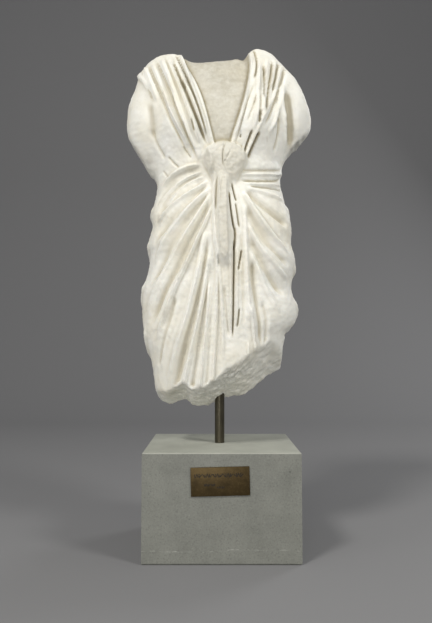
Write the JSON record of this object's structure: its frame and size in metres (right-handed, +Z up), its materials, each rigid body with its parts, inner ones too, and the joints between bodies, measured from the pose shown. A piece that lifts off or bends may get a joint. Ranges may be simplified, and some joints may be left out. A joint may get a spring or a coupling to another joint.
{
  "type": "marble torso sculpture on a plinth",
  "caption": "Broken marble torso in knotted, folded drapery, held by an upright rod on a square stone plinth with a small brass plate.",
  "frame": {"origin": "centre of the plinth's underside", "axes": "+Z up through the rod and the torso, the torso's front and the plate face -Y, +X to the right as seen from the front"},
  "size_m": [0.2529, 0.1719, 0.662],
  "materials": {
    "marble": "warm white weathered marble, rough where broken",
    "dark_metal": "dark bronzed round bar, satin",
    "plinth_stone": "honed grey-green stone, fine speckle",
    "aged_brass": "darkened brown brass, satin"
  },
  "bodies": {
    "root": {"torso": "marble", "rod": "dark_metal", "plinth": "plinth_stone", "plate": "aged_brass"}
  },
  "joints": []
}
